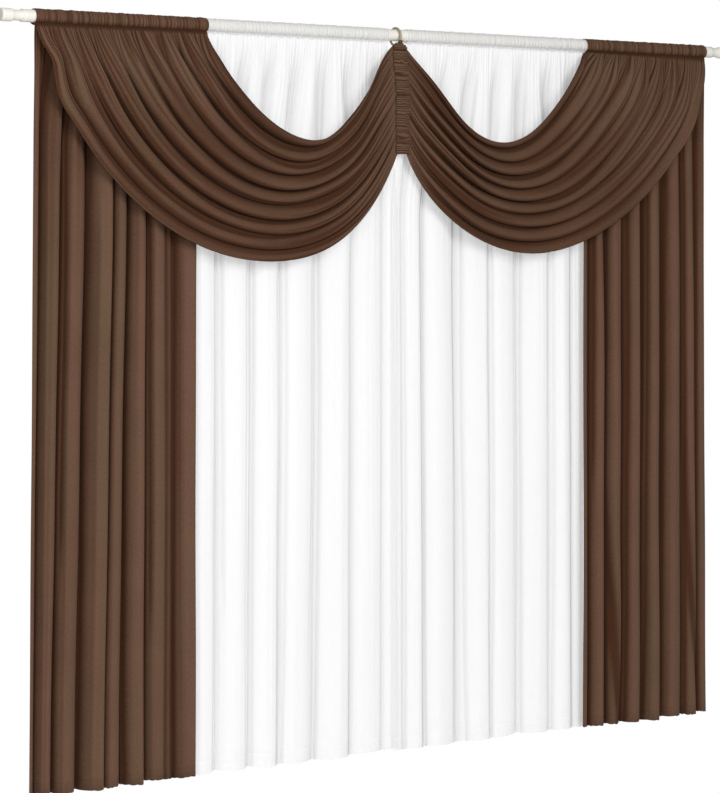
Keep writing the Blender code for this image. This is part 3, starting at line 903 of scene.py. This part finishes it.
leftSwag, leftSwagFlat = drapedSwag("leftSwag", leftSwagSpec)
rightSwag, rightSwagFlat = drapedSwag("rightSwag", rightSwagSpec)
for swag, node in ((leftSwag, "swag_left"), (rightSwag, "swag_right")):
    dress(giveThickness(swag), swagJersey, "brown_jersey", node)
print("swags draped", leftSwagFlat, rightSwagFlat)

stripSpec = {
    "top": -0.0125, "bottom": -0.280, "half": 0.0195, "columns": 33, "rows": 440, "seed": 111,
    "ribs": 16, "ribDepth": 0.0007, "ribWidth": 0.03,
    "wander": 0.35, "wanderAcross": (0.6, 2.0), "wanderDown": (4, 16),
    "wrinkles": 46, "wrinkleDepth": 0.0044, "wrinkleWidth": 0.26, "wrinkleWander": 0.035,
    "wrinkleDrift": 0.6,
    "shoulder": 0.005, "shoulderReach": 0.020, "bow": 0.0048, "forward": 0.0015,
    "shade": 1.9, "shadeLevel": 0.68,
}  # fmt: skip


# the ruched strip: broad ribs with uneven wrinkles across them, which wander over its width, a bowed
# front, and shoulders at the top
def ruchedStrip(name, spec):
    across = np.linspace(0, 1, spec["columns"])[None, :]
    down = np.linspace(0, 1, spec["rows"])[:, None]
    seed = spec["seed"]
    z = spec["top"] + (spec["bottom"] - spec["top"]) * down + 0 * across
    side = 2 * across - 1
    wander = spec["wander"] * ripple(across, seed, *spec["wanderAcross"])
    wander = wander * ripple(down, seed + 1, *spec["wanderDown"])
    rib = np.cos(2 * np.pi * (spec["ribs"] * down + wander))
    place = down + spec["wrinkleWander"] * wander
    wrinkle = pleatRow(place, spec["wrinkleDrift"] * across, spec["wrinkles"], seed + 2)
    shoulder = spec["shoulder"]
    half = shoulder + (spec["half"] - shoulder) * ease((spec["top"] - z) / spec["shoulderReach"])
    half = half * (1 + spec["ribWidth"] * rib + spec["wrinkleWidth"] * (wrinkle - 0.5))
    y = stripDepth(z) - spec["ribDepth"] * rib + spec["bow"] * side * side - spec["forward"]
    y = y + spec["wrinkleDepth"] * (0.5 - wrinkle)
    # painted shade in the wrinkles' valleys
    paintedShade = np.clip(spec["shade"] * (spec["shadeLevel"] - wrinkle), 0, 1)
    return gridPiece(name, np.stack([half * side, y, z], axis=-1), paintedShade=paintedShade)


strip, stripFlat = ruchedStrip("ruchedStrip", stripSpec)
dress(giveThickness(strip), swagJersey, "brown_jersey", "centre_strip")
print("strip ruched", stripFlat)


# turned piece: (place along X, radius) rows carried round the X axis; its ends are capped, or it closes
# on itself
def turnedPiece(name, profile, hollow=False, around=72):
    along, radius = np.array(profile).T[..., None]
    angle = np.linspace(0, 2 * np.pi, around, endpoint=False)[None, :]
    points = np.stack([along + 0 * angle, radius * np.sin(angle), radius * np.cos(angle)], axis=-1)
    flip = bool(along[-1] < along[0]) and not hollow
    piece, _ = gridPiece(name, points, roundColumns=True, roundRows=hollow, caps=not hollow, flip=flip)
    return piece


ringSpec = {"around": 96, "section": 24, "lobes": 3, "lobeHeight": 0.03}


# section carried round a circle: the wire's circle, with soft lobes, about the ring's circle
def wireRing(name, spec):
    turn = np.linspace(0, 2 * np.pi, spec["around"], endpoint=False)[:, None]
    about = np.linspace(0, 2 * np.pi, spec["section"], endpoint=False)[None, :]
    wire = layout["ringWire"] * (1 + spec["lobeHeight"] * np.sin(spec["lobes"] * turn))
    reach = layout["ringRadius"] + wire * np.cos(about)
    x, y, z = wire * np.sin(about), reach * np.sin(turn), layout["ringCentre"] + reach * np.cos(turn)
    points = np.stack([x, y, z], axis=-1)
    piece, _ = gridPiece(name, points, roundColumns=True, roundRows=True, flip=True)
    return piece


rodSpec = {
    "half": 1.030, "radius": 0.0140, "bore": 0.0130, "bevel": 0.0004, "inset": 0.01, "rings": 35,
}  # fmt: skip


# tube: the outer skin from left to right, then the bore back again
def tubeProfile(spec):
    half, radius, bore, bevel = spec["half"], spec["radius"], spec["bore"], spec["bevel"]
    straight = half - spec["inset"]
    mouth = bore + bevel / 2
    skin = [(-half, radius - bevel), (-half + bevel, radius)]
    skin += [(x, radius) for x in np.linspace(-straight, straight, spec["rings"])]
    skin += [(half - bevel, radius), (half, radius - bevel)]
    inside = [(half, mouth), (half - bevel, bore), (0.0, bore), (-half + bevel, bore), (-half, mouth)]
    return skin + inside


rod = turnedPiece("rodTube", tubeProfile(rodSpec), hollow=True)
dress(rod, paint, "white_rod", "rod")

# end piece, from the spigot in the tube to the cap's face: place from the tube's end, radius
endProfile = (
    (-0.0295, 0.0120), (-0.029, 0.0127), (0.0002, 0.0127), (0.0008, 0.0120), (0.0016, 0.0118),
    (0.0120, 0.0117), (0.0240, 0.0118), (0.0248, 0.0122), (0.0254, 0.0134), (0.0262, 0.0142),
    (0.0272, 0.0145), (0.0300, 0.0146), (0.0480, 0.0146), (0.0505, 0.0145), (0.0518, 0.0142),
    (0.0526, 0.0137), (0.0530, 0.0130), (0.0530, 0.0070),
)  # fmt: skip
for side, name, node in ((-1, "leftEndPiece", "finial_left"), (1, "rightEndPiece", "finial_right")):
    profile = [(side * (rodSpec["half"] + along), radius) for along, radius in endProfile]
    dress(turnedPiece(name, profile), paint, "white_rod", node)

ring = wireRing("swagRing", ringSpec)
dress(ring, ringFinish, "beige_ring", "swag_ring")

loopSpec = {
    "half": 0.0041, "wire": 0.0009, "legEnd": -0.040, "legHalf": 0.0046,
    "backY": -0.0192, "ringY": -0.0040, "seat": 0.0003,
    "archSteps": 25, "legSteps": 12, "around": 16, "turns": 1.5, "lobes": 3, "lobeHeight": 0.08,
}  # fmt: skip


# cord loop: a round, slightly lobed section carried up one leg, over the ring's wire and down the other
def cordLoop(name, spec):
    half, legEnd, steps = spec["half"], spec["legEnd"], spec["legSteps"]
    turn = np.linspace(0, np.pi, spec["archSteps"])
    arch = layout["ringCentre"] - layout["ringRadius"] + spec["seat"]
    legZ = np.linspace(legEnd, arch, steps)[:-1]
    legX = -np.linspace(spec["legHalf"], half, steps)[:-1]
    x = np.concatenate([legX, -half * np.cos(turn), -legX[::-1]])
    z = np.concatenate([legZ, arch + half * np.sin(turn), legZ[::-1]])
    path = np.stack([x, np.interp(z, [legEnd, arch], [spec["backY"], spec["ringY"]]), z], axis=-1)
    tangent = np.gradient(path, axis=0)
    tangent /= np.linalg.norm(tangent, axis=1)[:, None]
    sideways = np.cross(tangent, [0.0, 1.0, 0.0])
    sideways /= np.linalg.norm(sideways, axis=1)[:, None]
    facing = np.cross(sideways, tangent)
    about = np.linspace(0, 2 * np.pi, spec["around"], endpoint=False)[None, :]
    twist = about + spec["turns"] * np.linspace(0, 2 * np.pi, len(path))[:, None]
    radius = (spec["wire"] * (1 + spec["lobeHeight"] * np.cos(spec["lobes"] * twist)))[..., None]
    around = np.cos(about)[..., None] * sideways[:, None] + np.sin(about)[..., None] * facing[:, None]
    piece, _ = gridPiece(name, path[:, None] + radius * around, roundColumns=True, caps=True)
    return piece


loop = cordLoop("hangingLoop", loopSpec)
dress(loop, swagJersey, "brown_jersey", "hanging_loop")
print("rod and ring fitted")

cameraSpec = {
    "place": (-4.6136, -5.7807, -0.505),
    "turn": math.radians(37.95),
    "lens": 3143 / 793 * 36,  # focal length over the photo's height, times the sensor's
    "shift": -0.1847,
}


# camera turned about the upright alone, so that uprights stay parallel; its shift frames the set
def addCamera(spec):
    data = bpy.data.cameras.new("photoCamera")
    data.lens = spec["lens"]
    data.shift_y = spec["shift"]
    data.clip_end = 60
    camera = bpy.data.objects.new("photoCamera", data)
    camera.location = spec["place"]
    camera.rotation_euler = (math.pi / 2, 0, -spec["turn"])
    bpy.context.scene.collection.objects.link(camera)
    bpy.context.scene.camera = camera


lightSpec = {
    # place, point aimed at, size, watts
    "keyLight": ((-1.0, -5.1, 1.0), (0.0, 0.0, -0.6), 2.6, 178),
    "sideLight": ((-3.9, -3.4, 0.1), (-0.2, 0.0, -0.8), 1.8, 70),
    "backLight": ((0.8, 4.8, 0.8), (0.0, 0.0, -0.8), 2.6, 90),
}
worldSpec = {"light": 0.32, "seen": 1.0}


# square light turned to its aim: its tilt and turn are the angles of the line between the two
def addLight(name, place, aim, size, watts):
    data = bpy.data.lights.new(name, "AREA")
    data.shape = "SQUARE"
    data.size = size
    data.energy = watts
    lamp = bpy.data.objects.new(name, data)
    lamp.location = place
    away = np.array(place) - np.array(aim)
    level = math.hypot(away[0], away[1])
    lamp.rotation_euler = (math.atan2(level, away[2]), 0, math.atan2(away[0], -away[1]))
    bpy.context.scene.collection.objects.link(lamp)


# white surroundings that light the set less than they show: the strength is one share for the camera's
# own rays and another for all the rest
def addWorld(spec):
    world = bpy.data.worlds.new("paleStudio")
    world.use_nodes = True
    tree = world.node_tree
    back = tree.nodes["Background"]
    back.inputs["Color"].default_value = (1.0, 1.0, 1.0, 1.0)
    path = tree.nodes.new("ShaderNodeLightPath")
    more = spec["seen"] - spec["light"]
    strength = mathNode(tree, "MULTIPLY_ADD", path.outputs["Is Camera Ray"], more, spec["light"])
    tree.links.new(strength, back.inputs["Strength"])
    bpy.context.scene.world = world


floorSpec = {
    "height": -2.35, "radius": 2.6, "lines": 41,
    "paints": ((0.86, 0.86, 0.85), (0.90, 0.90, 0.89)), "clouds": (2.0, 2.0),
    "roughness": (0.3, 0.7, 0.75, 0.85),
}  # fmt: skip


# round pale floor under the set: a square grid drawn in to a disc, each side shortened by the root of
# 1 - half the square of the other
def addFloor(spec):
    line = np.linspace(-1, 1, spec["lines"])
    side, ahead = np.meshgrid(line, line)
    x = spec["radius"] * side * np.sqrt(1 - ahead**2 / 2)
    y = spec["radius"] * ahead * np.sqrt(1 - side**2 / 2)
    floor, _ = gridPiece("paleFloor", np.stack([x, y, spec["height"] + 0 * x], axis=-1), flip=True)
    material, tree, shader, where = newMaterial("paleFloor", {})
    soft = noiseNode(tree, where.outputs["Object"], *spec["clouds"])
    tree.links.new(mixColour(tree, soft, *spec["paints"]), shader.inputs["Base Color"])
    tree.links.new(rangeNode(tree, soft, *spec["roughness"]), shader.inputs["Roughness"])
    floor.data.materials.append(material)


addCamera(cameraSpec)
for name, (place, aim, size, watts) in lightSpec.items():
    addLight(name, place, aim, size, watts)
addWorld(worldSpec)
addFloor(floorSpec)
bpy.context.scene.view_settings.view_transform = "Standard"
print("studio set")
